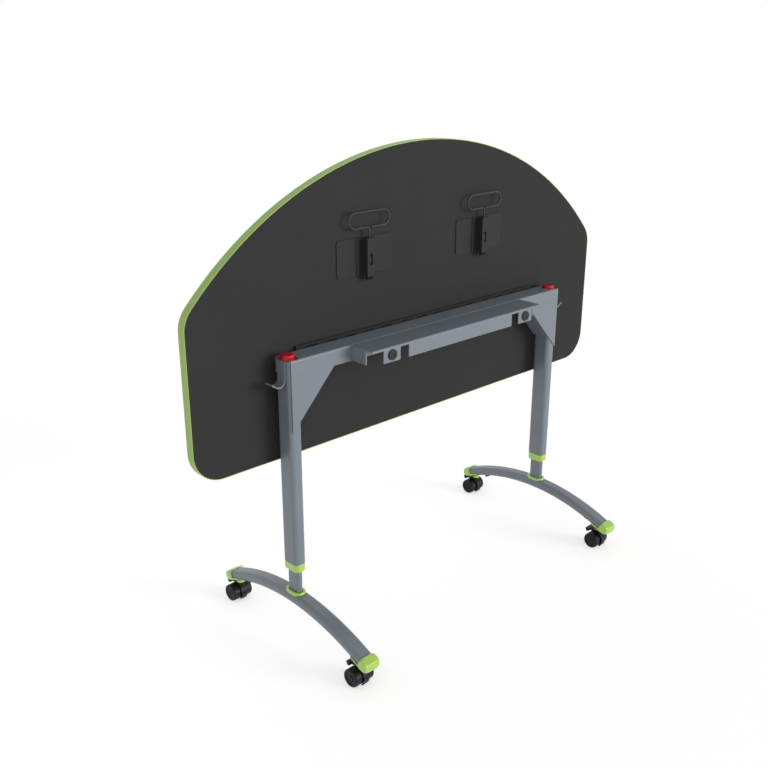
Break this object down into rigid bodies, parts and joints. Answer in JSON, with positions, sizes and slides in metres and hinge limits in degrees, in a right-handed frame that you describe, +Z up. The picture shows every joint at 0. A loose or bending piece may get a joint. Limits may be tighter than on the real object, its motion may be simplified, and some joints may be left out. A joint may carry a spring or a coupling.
{
  "type": "flip top training table",
  "caption": "Half-round table top that tilts upright on a T-leg frame with a shelf, spring latches, sliding legs and braked casters.",
  "frame": {"origin": "on the floor under the middle of the table, stored upright, with the casters on the floor", "axes": "+X along the table, +Y to the back (the side of the work surface when stored), +Z up"},
  "size_m": [1.5, 0.6025, 1.2592],
  "materials": {
    "frame_paint": "satin grey-blue powder coat",
    "bumper_red": "soft red rubber",
    "green_plastic": "lime green moulded plastic",
    "edge_green": "lime green edge band",
    "board": "charcoal backing sheet on a board core",
    "laminate": "pale laminate",
    "black_rubber": "black rubber",
    "steel": "bright zinc plated steel",
    "black_metal": "black powder coat",
    "caster_plastic": "black moulded plastic",
    "wheel_tread": "dark grey tread"
  },
  "bodies": {
    "upper_frame": {"left_leg_tube": "frame_paint", "right_leg_tube": "frame_paint", "crossbar": "frame_paint", "shelf": "frame_paint", "left_gusset": "frame_paint", "right_gusset": "frame_paint", "left_bag_hook": "frame_paint", "right_bag_hook": "frame_paint", "left_bumper": "bumper_red", "right_bumper": "bumper_red", "left_leg_bush": "green_plastic", "right_leg_bush": "green_plastic", "dock_pads": "black_rubber", "frame_hinge_leaf": "black_metal", "hinge_pin": "black_metal", "stop_buffers": "black_rubber"},
    "top": {"table_top": "board", "top_laminate": "laminate", "edge_band": "edge_green", "top_hinge_leaf": "black_metal", "left_latch_bracket": "black_metal", "right_latch_bracket": "black_metal", "top_screws": "black_metal", "left_latch_spring": "steel", "right_latch_spring": "steel"},
    "left_latch": {"left_latch_tongue": "black_metal", "left_latch_handle": "black_metal"},
    "right_latch": {"right_latch_tongue": "black_metal", "right_latch_handle": "black_metal"},
    "left_lower_leg": {"left_post": "frame_paint", "left_foot": "frame_paint", "left_boot": "green_plastic", "left_front_shoe": "green_plastic", "left_rear_shoe": "green_plastic"},
    "right_lower_leg": {"right_post": "frame_paint", "right_foot": "frame_paint", "right_boot": "green_plastic", "right_front_shoe": "green_plastic", "right_rear_shoe": "green_plastic"},
    "left_front_caster": {"left_front_housing": "caster_plastic", "left_front_axle": "steel"},
    "left_front_wheel_a": {"left_front_wheel_a": "wheel_tread"},
    "left_front_wheel_b": {"left_front_wheel_b": "wheel_tread"},
    "left_front_brake": {"left_front_brake": "caster_plastic"},
    "left_rear_caster": {"left_rear_housing": "caster_plastic", "left_rear_axle": "steel"},
    "left_rear_wheel_a": {"left_rear_wheel_a": "wheel_tread"},
    "left_rear_wheel_b": {"left_rear_wheel_b": "wheel_tread"},
    "left_rear_brake": {"left_rear_brake": "caster_plastic"},
    "right_front_caster": {"right_front_housing": "caster_plastic", "right_front_axle": "steel"},
    "right_front_wheel_a": {"right_front_wheel_a": "wheel_tread"},
    "right_front_wheel_b": {"right_front_wheel_b": "wheel_tread"},
    "right_front_brake": {"right_front_brake": "caster_plastic"},
    "right_rear_caster": {"right_rear_housing": "caster_plastic", "right_rear_axle": "steel"},
    "right_rear_wheel_a": {"right_rear_wheel_a": "wheel_tread"},
    "right_rear_wheel_b": {"right_rear_wheel_b": "wheel_tread"},
    "right_rear_brake": {"right_rear_brake": "caster_plastic"}
  },
  "joints": [
    {"name": "top_tilt", "type": "hinge", "parent": "upper_frame", "child": "top", "pos_m": [0, 0.03555, 0.7934], "axis": [1, 0, 0], "range_deg": [0, 90]},
    {"name": "left_latch_slide", "type": "slide", "parent": "top", "child": "left_latch", "axis": [0, 0, 1], "range_m": [0, 0.012], "stiffness_N_per_m": 400, "springref_m": -0.02, "deforming": ["left_latch_spring"]},
    {"name": "right_latch_slide", "type": "slide", "parent": "top", "child": "right_latch", "axis": [0, 0, 1], "range_m": [0, 0.012], "stiffness_N_per_m": 400, "springref_m": -0.02, "deforming": ["right_latch_spring"]},
    {"name": "left_height", "type": "slide", "parent": "upper_frame", "child": "left_lower_leg", "axis": [0, 0, -1], "range_m": [-0.055, 0.08]},
    {"name": "right_height", "type": "slide", "parent": "upper_frame", "child": "right_lower_leg", "axis": [0, 0, -1], "range_m": [-0.055, 0.08]},
    {"name": "left_front_swivel", "type": "hinge", "parent": "left_lower_leg", "child": "left_front_caster", "pos_m": [-0.499, -0.26, 0.06], "axis": [0, 0, 1], "continuous": true},
    {"name": "left_front_wheel_a_spin", "type": "hinge", "parent": "left_front_caster", "child": "left_front_wheel_a", "pos_m": [-0.49944, -0.24751, 0.024], "axis": [0.9994, 0.0349, 0], "continuous": true},
    {"name": "left_front_wheel_b_spin", "type": "hinge", "parent": "left_front_caster", "child": "left_front_wheel_b", "pos_m": [-0.49944, -0.24751, 0.024], "axis": [0.9994, 0.0349, 0], "continuous": true},
    {"name": "left_front_brake_pedal", "type": "hinge", "parent": "left_front_caster", "child": "left_front_brake", "pos_m": [-0.49989, -0.23453, 0.04948], "axis": [-0.9994, -0.0349, 0], "range_deg": [0, 20]},
    {"name": "left_rear_swivel", "type": "hinge", "parent": "left_lower_leg", "child": "left_rear_caster", "pos_m": [-0.499, 0.26, 0.06], "axis": [0, 0, 1], "continuous": true},
    {"name": "left_rear_wheel_a_spin", "type": "hinge", "parent": "left_rear_caster", "child": "left_rear_wheel_a", "pos_m": [-0.49944, 0.27249, 0.024], "axis": [0.9994, 0.0349, 0], "continuous": true},
    {"name": "left_rear_wheel_b_spin", "type": "hinge", "parent": "left_rear_caster", "child": "left_rear_wheel_b", "pos_m": [-0.49944, 0.27249, 0.024], "axis": [0.9994, 0.0349, 0], "continuous": true},
    {"name": "left_rear_brake_pedal", "type": "hinge", "parent": "left_rear_caster", "child": "left_rear_brake", "pos_m": [-0.49989, 0.28547, 0.04948], "axis": [-0.9994, -0.0349, 0], "range_deg": [0, 20]},
    {"name": "right_front_swivel", "type": "hinge", "parent": "right_lower_leg", "child": "right_front_caster", "pos_m": [0.499, -0.26, 0.06], "axis": [0, 0, 1], "continuous": true},
    {"name": "right_front_wheel_a_spin", "type": "hinge", "parent": "right_front_caster", "child": "right_front_wheel_a", "pos_m": [0.49856, -0.24751, 0.024], "axis": [0.9994, 0.0349, 0], "continuous": true},
    {"name": "right_front_wheel_b_spin", "type": "hinge", "parent": "right_front_caster", "child": "right_front_wheel_b", "pos_m": [0.49856, -0.24751, 0.024], "axis": [0.9994, 0.0349, 0], "continuous": true},
    {"name": "right_front_brake_pedal", "type": "hinge", "parent": "right_front_caster", "child": "right_front_brake", "pos_m": [0.49811, -0.23453, 0.04948], "axis": [-0.9994, -0.0349, 0], "range_deg": [0, 20]},
    {"name": "right_rear_swivel", "type": "hinge", "parent": "right_lower_leg", "child": "right_rear_caster", "pos_m": [0.499, 0.26, 0.06], "axis": [0, 0, 1], "continuous": true},
    {"name": "right_rear_wheel_a_spin", "type": "hinge", "parent": "right_rear_caster", "child": "right_rear_wheel_a", "pos_m": [0.49856, 0.27249, 0.024], "axis": [0.9994, 0.0349, 0], "continuous": true},
    {"name": "right_rear_wheel_b_spin", "type": "hinge", "parent": "right_rear_caster", "child": "right_rear_wheel_b", "pos_m": [0.49856, 0.27249, 0.024], "axis": [0.9994, 0.0349, 0], "continuous": true},
    {"name": "right_rear_brake_pedal", "type": "hinge", "parent": "right_rear_caster", "child": "right_rear_brake", "pos_m": [0.49811, 0.28547, 0.04948], "axis": [-0.9994, -0.0349, 0], "range_deg": [0, 20]}
  ],
  "couplings": [
    {"joint": "right_height", "follows": "left_height", "ratio": 1}
  ]
}
